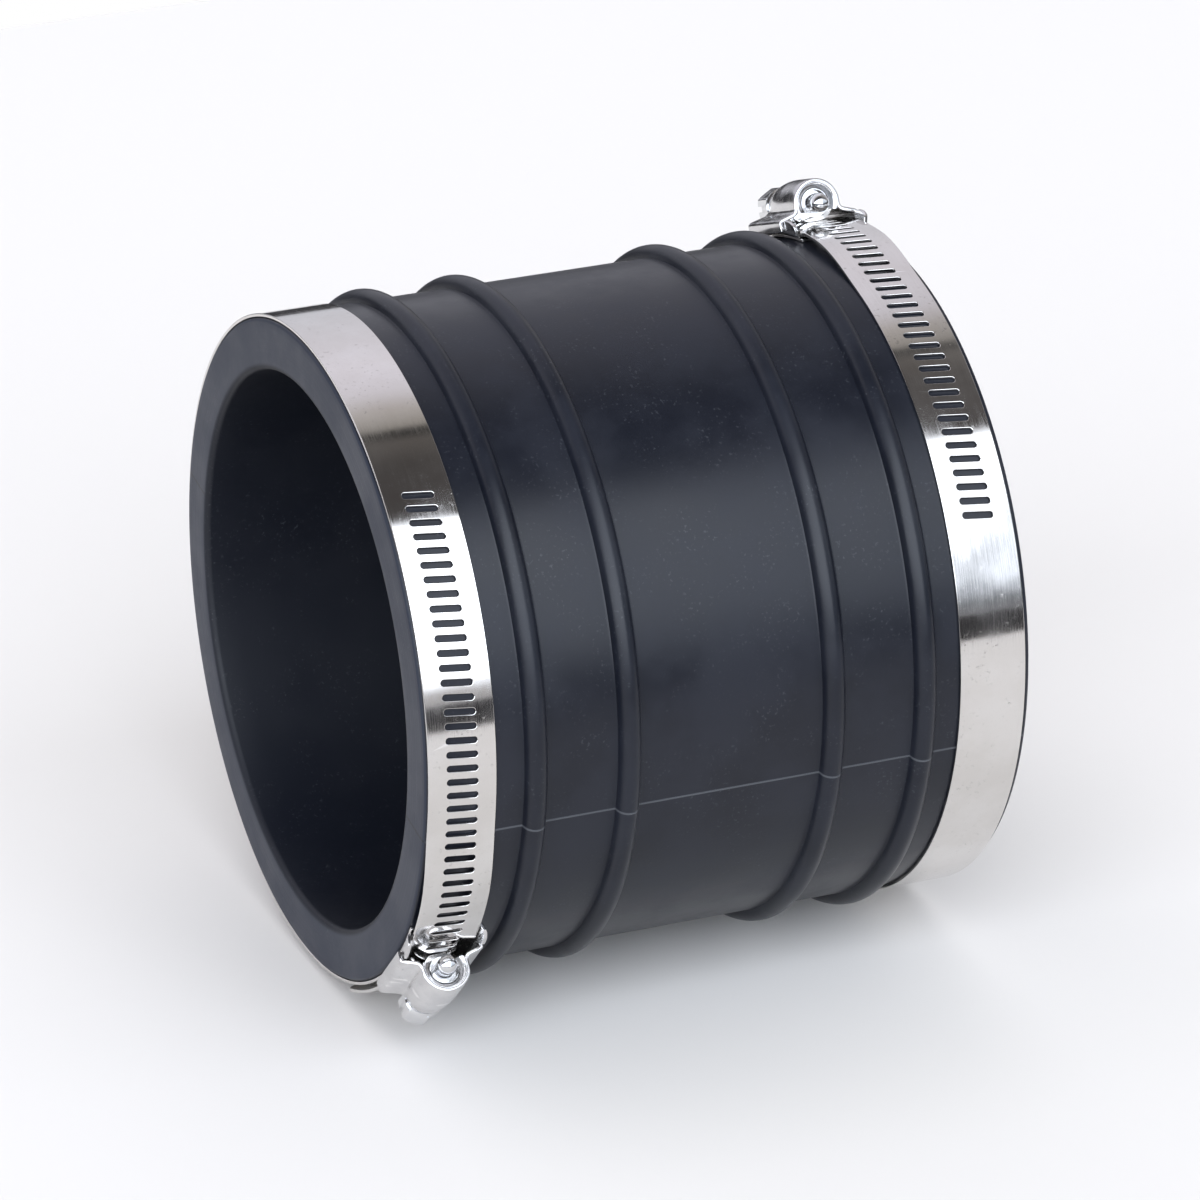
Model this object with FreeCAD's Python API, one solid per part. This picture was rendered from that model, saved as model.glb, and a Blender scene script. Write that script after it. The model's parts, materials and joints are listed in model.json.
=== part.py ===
import FreeCAD, Part
import math
import os

# Flexible pipe coupling: a ribbed rubber sleeve and two worm-drive band clamps.
# Frame: origin at the centre of the bore, +X along the bore, +Z up. Millimetres and degrees.

# Rubber sleeve
bore_diameter = 102.0
wall = 9.5
length = 116.0
rib_height = 2.3
rib_half_width = 2.1
rib_to_band = 4.7         # from the wider clamping land's band to the end rib
rib_spacing = 17.7        # from each end rib to the rib inside it
rim_round = 0.8           # outer edge of each end face
mouth_round = 1.2         # inner edge of each end face

# Clamp band
band_width = 12.7
band_thickness = 0.6
band_gap = 0.1            # running gap between the band and the rubber
clamp_a_inset = 0.4       # from the sleeve's end to the band's edge
clamp_b_inset = 1.2
slot_length = 5.9
slot_width = 1.2
slot_pitch = 2.65         # along the band, at the worm
slots_before_a = 38       # from the middle of the head back to the furthest slot
slots_before_b = 34
tail_deg = 30.0           # from the middle of the head to the end of the tail
tail_plain = 5.0          # slotless length at the end of the tail
ramp_start_deg = 36.0     # where the band starts to lift off the rubber
ramp_end_deg = 19.0       # where it has reached the height of the saddle
fixed_end_deg = 12.5      # where the inner end of the band stops, past the head

# Saddle and housing
layer_gap = 0.08          # between the band and the saddle, above and below
side_gap = 0.15           # between the band's edges and the saddle's flanges
saddle_thickness = 0.7
flange_height = 0.2       # above the upper band, under the housing's wings
ear_height = 1.5          # above the upper band, where the flanges stand clear of the housing
ear_clearance = 0.3       # between the housing's end and the ears
saddle_to_tip = 12.5      # from the middle of the head to the saddle's end, past the screw's tip
saddle_to_head = 9.0      # and to its other end, under the screw's head
housing_thickness = 0.75
housing_foot = 1.3        # how far the feet reach down past the top of the upper band
housing_gap = 0.25        # around the worm's thread
housing_spring = 1.2      # how far below the worm's axis the wings leave the arch
housing_lip = 0.9         # thickness of the walls across the housing's two ends

# Screw
thread_radius = 3.6
thread_root_radius = 2.75
thread_length = 13.0
thread_crest = 0.5        # width of the thread at its crest
thread_base = 1.15        # width of the thread at its root
thread_dip = 0.45         # how far the thread reaches into the slots
journal_radius = 1.8
journal_gap = 0.1         # running gap of the journals in the housing's end walls
neck_radius = 2.2
end_play = 0.15           # between the thread's ends and the housing's end walls
tip_length = 1.0          # of the tip's cylinder beyond the housing
collar_thickness = 0.9
head_clearance = 0.15     # between the screw's head and the band's tail below it
hex_across_flats = 6.3
hex_height = 4.6
driver_slot_width = 1.1
driver_slot_depth = 1.9

# Where the two heads sit around the sleeve, measured from +Y towards +Z
head_a_deg = 224.5
head_b_deg = 68.0

# Worked out from the sizes above
land_width = max(clamp_a_inset, clamp_b_inset) + band_width
rib_outer_offset = length / 2 - land_width - rib_to_band - rib_half_width
rib_inner_offset = rib_outer_offset - rib_spacing
sleeve_radius = bore_diameter / 2 + wall
band_inner = sleeve_radius + band_gap
saddle_inner = band_inner + band_thickness + layer_gap
upper_inner = saddle_inner + saddle_thickness + layer_gap
upper_outer = upper_inner + band_thickness
worm_height = upper_outer - thread_dip + thread_radius
slot_step_deg = math.degrees(slot_pitch / (upper_outer - band_thickness / 2))
flange_inner = band_width / 2 + side_gap
flange_outer = flange_inner + saddle_thickness
lip_face = thread_length / 2 + end_play
tip_wall_end = lip_face + housing_lip
tip_end = tip_wall_end + tip_length
hex_corner = hex_across_flats / math.sqrt(3)


def clear_of_tail(radius):
    """How far along the screw a head of this radius first clears the curved tail of the band."""
    lowest = worm_height - radius - head_clearance
    return math.sqrt(max(upper_outer ** 2 - lowest ** 2, 0))


def radius_over_tail(y):
    """The largest radius round the screw that clears the tail at this distance along it."""
    return worm_height - math.sqrt(upper_outer ** 2 - y ** 2) - head_clearance


hex_start = max(clear_of_tail(hex_corner), tip_wall_end + end_play + collar_thickness)
collar_start = hex_start - collar_thickness
neck_wall_end = collar_start - end_play
collar_radius = min(radius_over_tail(collar_start), hex_corner + 0.3)
hex_end = hex_start + hex_height

AXIS_X = FreeCAD.Vector(1, 0, 0)
AXIS_Y = FreeCAD.Vector(0, 1, 0)
AXIS_Z = FreeCAD.Vector(0, 0, 1)
ORIGIN = FreeCAD.Vector(0, 0, 0)


def line(a, b):
    """A straight edge between two points."""
    return Part.LineSegment(a, b).toShape()


def arc(a, middle, b):
    """A circular edge through three points."""
    return Part.Arc(a, middle, b).toShape()


def polygon_face(points):
    """A flat face with straight edges."""
    return Part.Face(Part.makePolygon(points + [points[0]]))


def cylinder_y(radius, start, end):
    """A cylinder along the screw's axis, between two places on it."""
    return Part.makeCylinder(radius, end - start, FreeCAD.Vector(0, start, worm_height), AXIS_Y)


def around(radius, degrees, x=0.0):
    """A point at a radius and an angle round the bore's axis."""
    turn = math.radians(degrees)
    return FreeCAD.Vector(x, radius * math.cos(turn), radius * math.sin(turn))


def make_sleeve():
    """The rubber tube: its half section, with the ribs and rounded edges, turned about X."""
    half = length / 2
    bore_radius = bore_diameter / 2
    slant = math.sqrt(0.5)

    def at(x, radius):
        return FreeCAD.Vector(x, 0, radius)

    edges = [arc(at(-half, sleeve_radius - rim_round),
                 at(-half + rim_round * (1 - slant), sleeve_radius - rim_round * (1 - slant)),
                 at(-half + rim_round, sleeve_radius))]
    x = -half + rim_round
    for rib in (-rib_outer_offset, -rib_inner_offset, rib_inner_offset, rib_outer_offset):
        edges.append(line(at(x, sleeve_radius), at(rib - rib_half_width, sleeve_radius)))
        edges.append(arc(at(rib - rib_half_width, sleeve_radius),
                         at(rib, sleeve_radius + rib_height),
                         at(rib + rib_half_width, sleeve_radius)))
        x = rib + rib_half_width
    edges.append(line(at(x, sleeve_radius), at(half - rim_round, sleeve_radius)))
    edges.append(arc(at(half - rim_round, sleeve_radius),
                     at(half - rim_round * (1 - slant), sleeve_radius - rim_round * (1 - slant)),
                     at(half, sleeve_radius - rim_round)))
    edges.append(line(at(half, sleeve_radius - rim_round), at(half, bore_radius + mouth_round)))
    edges.append(arc(at(half, bore_radius + mouth_round),
                     at(half - mouth_round * (1 - slant), bore_radius + mouth_round * (1 - slant)),
                     at(half - mouth_round, bore_radius)))
    edges.append(line(at(half - mouth_round, bore_radius), at(-half + mouth_round, bore_radius)))
    edges.append(arc(at(-half + mouth_round, bore_radius),
                     at(-half + mouth_round * (1 - slant), bore_radius + mouth_round * (1 - slant)),
                     at(-half, bore_radius + mouth_round)))
    edges.append(line(at(-half, bore_radius + mouth_round), at(-half, sleeve_radius - rim_round)))
    section = Part.Face(Part.Wire(edges))
    return section.revolve(ORIGIN, AXIS_X, 360)


def ramp_edge(low, high, start, end):
    """The curve of the band where it climbs from one radius to another."""
    steps = 12
    points = []
    for i in range(steps + 1):
        t = i / steps
        rise = t * t * (3 - 2 * t)
        points.append(around(low + (high - low) * rise, start + (end - start) * t, -band_width / 2))
    curve = Part.BSplineCurve()
    curve.interpolate(points)
    return curve.toShape()


def make_band(slots_before):
    """The strip, once round the sleeve, lifted over its own fixed end and out past the screw's head.

    Angles run from +Y towards +Z, so the head is at 90 and the screw's head lies beyond it.
    """
    side = -band_width / 2
    first = 90 - fixed_end_deg
    climb = 450 - ramp_start_deg
    level = 450 - ramp_end_deg
    last = 450 + tail_deg
    lower = band_inner + band_thickness
    outline = [
        arc(around(band_inner, first, side), around(band_inner, (first + climb) / 2, side),
            around(band_inner, climb, side)),
        ramp_edge(band_inner, upper_inner, climb, level),
        arc(around(upper_inner, level, side), around(upper_inner, (level + last) / 2, side),
            around(upper_inner, last, side)),
        line(around(upper_inner, last, side), around(upper_outer, last, side)),
        arc(around(upper_outer, last, side), around(upper_outer, (level + last) / 2, side),
            around(upper_outer, level, side)),
        ramp_edge(lower, upper_outer, climb, level),
        arc(around(lower, climb, side), around(lower, (first + climb) / 2, side),
            around(lower, first, side)),
        line(around(lower, first, side), around(band_inner, first, side)),
    ]
    strip = Part.Face(Part.Wire(Part.__sortEdges__(outline))).extrude(AXIS_X * band_width)
    return strip.cut(Part.makeCompound(band_slots(slots_before) + [tail_corners()]))


def slot_cutter():
    """One slanted slot, with round ends, standing at the top of the band."""
    radius = slot_width / 2
    reach = slot_length / 2 - radius
    low = band_inner - 1
    height = upper_outer + 1 - low

    def at(x, y):
        return FreeCAD.Vector(x, y, low)

    wire = Part.Wire([line(at(-reach, -radius), at(reach, -radius)),
                      arc(at(reach, -radius), at(reach + radius, 0), at(reach, radius)),
                      line(at(reach, radius), at(-reach, radius)),
                      arc(at(-reach, radius), at(-reach - radius, 0), at(-reach, -radius))])
    cutter = Part.Face(wire).extrude(AXIS_Z * height)
    lead = math.degrees(math.atan(slot_pitch / (2 * math.pi * thread_radius)))
    cutter.rotate(ORIGIN, AXIS_Z, -lead)
    return cutter


def band_slots(slots_before):
    """The row of slots, from the furthest one round to the one before the plain end of the tail.

    A slot over the fixed end must not cut it, so the cutters there stop above it.
    """
    cutter = slot_cutter()
    shallow_floor = Part.makeBox(band_width, 2 * slot_pitch, 2 * band_thickness + layer_gap,
                                 FreeCAD.Vector(-band_width / 2, -slot_pitch, band_inner - 1))
    shallow = cutter.cut(shallow_floor)
    plain_deg = math.degrees(tail_plain / upper_outer)
    after = int((tail_deg - plain_deg) / slot_step_deg)
    over_fixed_end = fixed_end_deg + 2 * slot_step_deg
    cutters = []
    for i in range(-slots_before, after + 1):
        turn = i * slot_step_deg
        tool = shallow if turn > -over_fixed_end else cutter
        copy = tool.copy()
        copy.rotate(ORIGIN, AXIS_X, turn)
        cutters.append(copy)
    return cutters


def tail_corners():
    """What is taken off the tail's end to leave it half round."""
    radius = band_width / 2
    low = upper_inner - layer_gap
    slab = Part.makeBox(band_width + 2, radius + 2, 2,
                        FreeCAD.Vector(-radius - 1, -radius - 2, low))
    disc = Part.makeCylinder(radius, 2, FreeCAD.Vector(0, 0, low), AXIS_Z)
    tool = slab.cut(disc)
    tool.rotate(ORIGIN, AXIS_X, tail_deg - math.degrees(radius / upper_outer))
    return tool


def saddle_section(top):
    """The saddle cut across the screw: a floor with a flange up to a given height at each side."""
    inner = saddle_inner
    outer = saddle_inner + saddle_thickness
    return polygon_face([
        FreeCAD.Vector(-flange_outer, 0, inner),
        FreeCAD.Vector(flange_outer, 0, inner),
        FreeCAD.Vector(flange_outer, 0, top),
        FreeCAD.Vector(flange_inner, 0, top),
        FreeCAD.Vector(flange_inner, 0, outer),
        FreeCAD.Vector(-flange_inner, 0, outer),
        FreeCAD.Vector(-flange_inner, 0, top),
        FreeCAD.Vector(-flange_outer, 0, top),
    ])


def sweep_section(section, start, end):
    """Turns a section about the bore's axis, between two places along the screw."""
    first = math.degrees(start / saddle_inner)
    last = math.degrees(end / saddle_inner)
    section.rotate(ORIGIN, AXIS_X, -last)
    return section.revolve(ORIGIN, AXIS_X, last - first)


def make_saddle():
    """The curved plate under the worm, with a flange up each side of the band.

    The flanges rise into ears at the end that stands out past the housing.
    """
    low = sweep_section(saddle_section(upper_outer + flange_height), -saddle_to_head, saddle_to_tip)
    ears_start = tip_wall_end + ear_clearance
    ears = sweep_section(saddle_section(upper_outer + ear_height), ears_start, saddle_to_tip)
    return low.fuse(ears).removeSplitter()


def housing_section(inset):
    """The outline of the housing across the screw, moved in by a wall's thickness."""
    crown = thread_radius + housing_gap + housing_thickness - inset
    foot = flange_outer + housing_thickness - inset
    shoulder = upper_outer + flange_height + housing_thickness - inset
    spring = max(worm_height - housing_spring, shoulder + housing_spring / 10)
    bottom = upper_outer - housing_foot
    wire = Part.Wire([
        line(FreeCAD.Vector(-foot, 0, bottom), FreeCAD.Vector(-foot, 0, shoulder)),
        line(FreeCAD.Vector(-foot, 0, shoulder), FreeCAD.Vector(-crown, 0, spring)),
        line(FreeCAD.Vector(-crown, 0, spring), FreeCAD.Vector(-crown, 0, worm_height)),
        arc(FreeCAD.Vector(-crown, 0, worm_height), FreeCAD.Vector(0, 0, worm_height + crown),
            FreeCAD.Vector(crown, 0, worm_height)),
        line(FreeCAD.Vector(crown, 0, worm_height), FreeCAD.Vector(crown, 0, spring)),
        line(FreeCAD.Vector(crown, 0, spring), FreeCAD.Vector(foot, 0, shoulder)),
        line(FreeCAD.Vector(foot, 0, shoulder), FreeCAD.Vector(foot, 0, bottom)),
        line(FreeCAD.Vector(foot, 0, bottom), FreeCAD.Vector(-foot, 0, bottom)),
    ])
    return Part.Face(wire)


def end_wall(start, end, hole_radius):
    """A wall across one end of the housing, above the band, with a hole for the screw."""
    crown = thread_radius + housing_gap + housing_thickness / 2
    bottom = upper_outer + layer_gap + 0.1
    disc = cylinder_y(crown, start, end)
    below = Part.makeBox(2 * crown, end - start, crown * 2,
                         FreeCAD.Vector(-crown, start, bottom - crown * 2))
    return disc.cut(below).cut(cylinder_y(hole_radius, start - 1, end + 1))


def make_housing():
    """The stamped hood over the worm, with its two feet outside the saddle's flanges."""
    span = tip_wall_end + neck_wall_end
    hood = housing_section(0).extrude(AXIS_Y * span)
    hollow = housing_section(housing_thickness).extrude(AXIS_Y * span)
    hood.translate(AXIS_Y * -neck_wall_end)
    hollow.translate(AXIS_Y * -neck_wall_end)
    shell = hood.cut(hollow)
    tip_wall = end_wall(lip_face, tip_wall_end, journal_radius + journal_gap)
    neck_wall = end_wall(-neck_wall_end, -lip_face, neck_radius + journal_gap)
    return shell.fuse([tip_wall, neck_wall]).removeSplitter()


def make_thread():
    """The right-handed worm thread, cut square at both ends of the worm."""
    turns = int(thread_length / slot_pitch) + 2
    sink = 0.2
    start = -turns * slot_pitch / 2
    helix = Part.makeHelix(slot_pitch, turns * slot_pitch, thread_root_radius)
    low = thread_root_radius - sink
    section = Part.makePolygon([
        FreeCAD.Vector(low, 0, -thread_base / 2),
        FreeCAD.Vector(thread_radius, 0, -thread_crest / 2),
        FreeCAD.Vector(thread_radius, 0, thread_crest / 2),
        FreeCAD.Vector(low, 0, thread_base / 2),
        FreeCAD.Vector(low, 0, -thread_base / 2),
    ])
    thread = Part.Wire(helix).makePipeShell([section], True, True)
    thread.translate(AXIS_Z * start)
    # The helix starts at +X. Turned so, it crosses the middle of the band under the worm.
    thread.rotate(ORIGIN, AXIS_Z, 90 if turns % 2 == 0 else 270)
    thread.rotate(ORIGIN, AXIS_X, -90)
    thread.translate(AXIS_Z * worm_height)
    return thread.common(cylinder_y(thread_radius + 1, -thread_length / 2, thread_length / 2))


def make_screw():
    """The worm, its rounded tip, and the collared hexagon head with a driver slot."""
    half = thread_length / 2
    core = cylinder_y(thread_root_radius, -half, half)
    tip = cylinder_y(journal_radius, half, tip_end)
    dome = Part.makeSphere(journal_radius, FreeCAD.Vector(0, tip_end, worm_height))
    neck = cylinder_y(neck_radius, -collar_start, -half)
    collar = cylinder_y(collar_radius, -hex_start, -collar_start)
    hexagon = polygon_face([
        FreeCAD.Vector(hex_corner * math.sin(math.radians(60 * i)), -hex_end,
                       worm_height + hex_corner * math.cos(math.radians(60 * i)))
        for i in range(6)])
    head = hexagon.extrude(AXIS_Y * hex_height)
    chamfer = Part.makeCone(hex_across_flats / 2, hex_across_flats / 2 + hex_height, hex_height,
                            FreeCAD.Vector(0, -hex_end, worm_height), AXIS_Y)
    head = head.common(chamfer)
    driver_slot = Part.makeBox(3 * hex_corner, driver_slot_depth, driver_slot_width,
                               FreeCAD.Vector(-1.5 * hex_corner, -hex_end,
                                              worm_height - driver_slot_width / 2))
    head = head.cut(driver_slot)
    return core.fuse([make_thread(), tip, dome, neck, collar, head]).removeSplitter()


def place(shape, turned, head_deg, x):
    """Puts a clamp piece on the sleeve: end for end if turned, then round to its angle."""
    placed = shape.copy()
    if turned:
        placed.rotate(ORIGIN, AXIS_Z, 180)
    placed.rotate(ORIGIN, AXIS_X, head_deg - 90)
    placed.translate(AXIS_X * x)
    return placed


os.makedirs("parts", exist_ok=True)

head_pieces = {
    "saddle": make_saddle(),
    "housing": make_housing(),
    "screw": make_screw(),
}
clamps = {
    "a": (False, head_a_deg, -length / 2 + clamp_a_inset + band_width / 2, slots_before_a),
    "b": (True, head_b_deg, length / 2 - clamp_b_inset - band_width / 2, slots_before_b),
}

nodes = {"sleeve": make_sleeve()}
for letter, (turned, head_deg, x, slots_before) in clamps.items():
    nodes["band_" + letter] = place(make_band(slots_before), turned, head_deg, x)
    for piece, shape in head_pieces.items():
        nodes[piece + "_" + letter] = place(shape, turned, head_deg, x)

for node, shape in nodes.items():
    print(node, "solids", len(shape.Solids), "valid", shape.isValid(), "volume", round(shape.Volume, 1))
    shape.exportStep("parts/" + node + ".step")
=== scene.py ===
import json
import math

import bmesh
import bpy
from mathutils import Matrix, Vector, noise


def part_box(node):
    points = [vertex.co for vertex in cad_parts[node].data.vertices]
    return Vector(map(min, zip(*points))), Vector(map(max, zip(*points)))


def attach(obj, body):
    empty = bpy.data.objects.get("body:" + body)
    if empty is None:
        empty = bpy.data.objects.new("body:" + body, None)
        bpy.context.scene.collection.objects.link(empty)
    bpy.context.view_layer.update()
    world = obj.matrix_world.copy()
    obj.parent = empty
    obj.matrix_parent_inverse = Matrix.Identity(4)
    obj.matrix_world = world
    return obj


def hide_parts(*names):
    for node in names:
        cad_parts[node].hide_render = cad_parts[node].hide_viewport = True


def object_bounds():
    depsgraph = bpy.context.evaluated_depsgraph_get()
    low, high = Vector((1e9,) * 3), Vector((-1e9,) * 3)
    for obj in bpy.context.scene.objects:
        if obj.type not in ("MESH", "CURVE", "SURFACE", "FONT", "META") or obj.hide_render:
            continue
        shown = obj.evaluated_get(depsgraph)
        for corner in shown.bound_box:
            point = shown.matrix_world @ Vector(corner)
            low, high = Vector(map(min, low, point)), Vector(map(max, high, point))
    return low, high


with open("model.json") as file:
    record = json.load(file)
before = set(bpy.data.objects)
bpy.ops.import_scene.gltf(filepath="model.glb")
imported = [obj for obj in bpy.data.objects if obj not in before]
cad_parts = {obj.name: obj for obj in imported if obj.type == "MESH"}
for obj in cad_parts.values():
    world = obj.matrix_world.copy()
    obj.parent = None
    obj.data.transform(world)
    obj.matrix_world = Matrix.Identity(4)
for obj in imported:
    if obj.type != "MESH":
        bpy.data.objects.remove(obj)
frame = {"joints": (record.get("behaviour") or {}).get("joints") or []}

cad_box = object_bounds()


# ---- Rubber sleeve -----------------------------------------------------------------------
# A thick tube moulded in one piece from black EPDM rubber, with two half-round ribs near each
# end. The two halves of its mould leave a thin raised line of flash along both sides.

MM = 0.001
sleeve_low, sleeve_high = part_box("sleeve")
half_length = (sleeve_high.x - sleeve_low.x) / 2
rib_height = 2.3 * MM
inside_box = 0.01 * MM
tube_radius = -sleeve_low.z - rib_height - inside_box
tube_wall = 9.5 * MM
bore_radius = tube_radius - tube_wall
rib_half_width = 2.1 * MM
rib_root = 0.45 * MM
rib_outer = 37.3 * MM
rib_inner = 19.6 * MM
rib_places = (-rib_outer, -rib_inner, rib_inner, rib_outer)
rim_round = 0.8 * MM
mouth_round = 1.2 * MM
sleeve_steps = 288
flash_width = 0.3 * MM
flash_height = 0.1 * MM
flash_root = 0.4 * MM
flash_deg = 191.5
flash_reach = 41.0 * MM


def new_piece(name, bm, material, normals=None):
    """An object at the origin with this mesh, shaded smooth, or by a normal for each point."""
    mesh = bpy.data.meshes.new(name)
    bm.to_mesh(mesh)
    bm.free()
    mesh.materials.append(material)
    mesh.shade_smooth()
    if normals:
        mesh.normals_split_custom_set_from_vertices(normals)
    else:
        mesh.set_sharp_from_angle(angle=math.radians(35))
    piece = bpy.data.objects.new(name, mesh)
    bpy.context.scene.collection.objects.link(piece)
    return piece


def rib_rise(x):
    """How far the moulded surface stands above the tube at this place along it."""
    rise = 0.0
    for place in rib_places:
        off = abs(x - place)
        if off < rib_half_width:
            rise = max(rise, rib_height * math.sqrt(1 - (off / rib_half_width) ** 2))
        if off < rib_half_width + rib_root:
            fade = (rib_half_width + rib_root - off) / (2 * rib_root)
            rise = max(rise, rib_root * 0.5 * min(fade, 1) ** 2)
    return rise


def outer_line():
    """Places along the sleeve, closer together over the ribs."""
    places = [-half_length + rim_round]
    for rib in rib_places:
        span = rib_half_width + rib_root
        gap = rib - span - places[-1]
        plain = max(2, int(gap / (2.5 * MM)))
        places += [places[-1] + gap * (i + 1) / plain for i in range(plain)]
        places += [rib - span * math.cos(math.pi * (i + 1) / 28) for i in range(28)]
    gap = half_length - rim_round - places[-1]
    plain = max(2, int(gap / (2.5 * MM)))
    places += [places[-1] + gap * (i + 1) / plain for i in range(plain)]
    return places


def round_corner(centre_x, centre_r, radius, start_deg, steps=5):
    """The points of a quarter circle in the half section."""
    points = []
    for i in range(steps + 1):
        turn = math.radians(start_deg - 90 * i / steps)
        points.append((centre_x + radius * math.cos(turn), centre_r + radius * math.sin(turn)))
    return points


def sleeve_section():
    """The half section of the tube as a closed loop of (place along X, radius)."""
    end = half_length
    face = tube_wall - rim_round - mouth_round
    loop = round_corner(-end + rim_round, tube_radius - rim_round, rim_round, 180)
    loop += [(x, tube_radius + rib_rise(x)) for x in outer_line()[1:-1]]
    loop += round_corner(end - rim_round, tube_radius - rim_round, rim_round, 90)
    loop += [(end, tube_radius - rim_round - face * i / 6) for i in range(1, 6)]
    loop += round_corner(end - mouth_round, bore_radius + mouth_round, mouth_round, 0)
    loop += [((end - mouth_round) * (1 - i / 12), bore_radius) for i in range(1, 24)]
    loop += round_corner(-end + mouth_round, bore_radius + mouth_round, mouth_round, 270)
    loop += [(-end, bore_radius + mouth_round + face * i / 6) for i in range(1, 6)]
    return loop


def spin_tube():
    """The half section turned once round the bore."""
    bm = bmesh.new()
    verts = [bm.verts.new((x, 0, r)) for x, r in sleeve_section()]
    for a, b in zip(verts, verts[1:] + verts[:1]):
        bm.edges.new((a, b))
    bmesh.ops.spin(bm, geom=bm.verts[:] + bm.edges[:], cent=(0, 0, 0), axis=(1, 0, 0),
                   angle=math.tau, steps=sleeve_steps, use_merge=True)
    bmesh.ops.remove_doubles(bm, verts=bm.verts[:], dist=0.001 * MM)
    bmesh.ops.recalc_face_normals(bm, faces=bm.faces[:])
    return bm


def add_flash(bm, degrees):
    """A low uneven ridge along the tube, sunk a little into it and pressed down under the bands."""
    places = outer_line()
    grid = bmesh.ops.create_grid(bm, x_segments=len(places) - 1, y_segments=2, size=0.5)
    turn = Matrix.Rotation(math.radians(degrees - 90), 4, "X")
    ribbon = grid["verts"]
    for v in ribbon:
        x = places[round((v.co.x + 0.5) * (len(places) - 1))]
        ragged = 0.75 + 0.5 * noise.noise(Vector((x / MM / 1.7, degrees, 0)))
        crown = (1 - abs(v.co.y) * 1.2) * (0.3 if abs(x) > flash_reach else 1)
        v.co = Vector((x, v.co.y * flash_width * ragged,
                       tube_radius + rib_rise(x) + flash_height * ragged * crown))
        v.co = turn @ v.co
    faces = list(dict.fromkeys(f for v in ribbon for f in v.link_faces))
    bmesh.ops.recalc_face_normals(bm, faces=faces)
    if faces[0].normal.dot(turn @ Vector((0, 0, 1))) < 0:
        bmesh.ops.reverse_faces(bm, faces=faces)
    bmesh.ops.solidify(bm, geom=faces, thickness=flash_root)


def add(tree, kind, **settings):
    """Adds a shader node and sets its sockets, or its own properties, by name."""
    node = tree.nodes.new("ShaderNode" + kind)
    for name, value in settings.items():
        socket = node.inputs.get(name.replace("_", " "))
        if socket is None:
            setattr(node, name, value)
        else:
            feed(tree, socket, value)
    return node


def feed(tree, socket, source):
    """Gives an input its value, or links it to another node's output."""
    if isinstance(source, bpy.types.NodeSocket):
        tree.links.new(source, socket)
    else:
        socket.default_value = source


def reckon(tree, operation, *values):
    """One step of arithmetic between numbers and outputs."""
    node = add(tree, "Math", operation=operation)
    for socket, value in zip(node.inputs, values):
        feed(tree, socket, value)
    return node.outputs[0]


def ease(tree, value, low, high, to_low=0.0, to_high=1.0):
    """Maps one range of a value smoothly onto another."""
    node = add(tree, "MapRange", interpolation_type="SMOOTHSTEP", Value=value, From_Min=low,
               From_Max=high, To_Min=to_low, To_Max=to_high)
    return node.outputs[0]


def tint(tree, share, under, over):
    """Lays one colour over another by a mask."""
    node = add(tree, "Mix", data_type="RGBA")
    for socket, value in zip((node.inputs[0], node.inputs[6], node.inputs[7]), (share, under, over)):
        feed(tree, socket, value)
    return node.outputs[2]


def new_material(name):
    """A material with its node tree and its shader."""
    material = bpy.data.materials.new(name)
    material.use_nodes = True
    return material, material.node_tree, material.node_tree.nodes["Principled BSDF"]


def new_group(name, inputs, outputs):
    """An empty effect group: inputs are (name, kind, default), outputs are names of values."""
    tree = bpy.data.node_groups.new(name, "ShaderNodeTree")
    for label, kind, default in inputs:
        socket = tree.interface.new_socket(label, in_out="INPUT", socket_type=kind)
        if default is not None:
            socket.default_value = default
    for label in outputs:
        tree.interface.new_socket(label, in_out="OUTPUT", socket_type="NodeSocketFloat")
    return tree, tree.nodes.new("NodeGroupInput").outputs, tree.nodes.new("NodeGroupOutput").inputs


def use_group(tree, group, **settings):
    """Places an effect group in a material with its own values."""
    node = tree.nodes.new("ShaderNodeGroup")
    node.node_tree = group
    for name, value in settings.items():
        feed(tree, node.inputs[name.replace("_", " ")], value)
    return node.outputs


# Cloudy variation in a surface, and the fine dust that lies on it
dust, given, result = new_group("dust_and_cloud", [
    ("Place", "NodeSocketVector", None), ("Cloud Scale", "NodeSocketFloat", 60.0),
    ("Dust Scale", "NodeSocketFloat", 1500.0), ("Dust Amount", "NodeSocketFloat", 0.3)],
    ["Cloud", "Dust"])
cloud = add(dust, "TexNoise", Vector=given["Place"], Scale=given["Cloud Scale"], Detail=5.0,
            Roughness=0.62).outputs[0]
motes = add(dust, "TexNoise", Vector=given["Place"], Scale=given["Dust Scale"], Detail=2.0).outputs[0]
patch_scale = reckon(dust, "MULTIPLY", given["Cloud Scale"], 2.3)
patch = add(dust, "TexNoise", Vector=given["Place"], Scale=patch_scale, Detail=3.0).outputs[0]
feed(dust, result["Cloud"], ease(dust, cloud, 0.34, 0.66))
settled = reckon(dust, "MULTIPLY", ease(dust, motes, 0.60, 0.74), ease(dust, patch, 0.42, 0.66))
feed(dust, result["Dust"], reckon(dust, "MULTIPLY", settled, given["Dust Amount"]))

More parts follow.
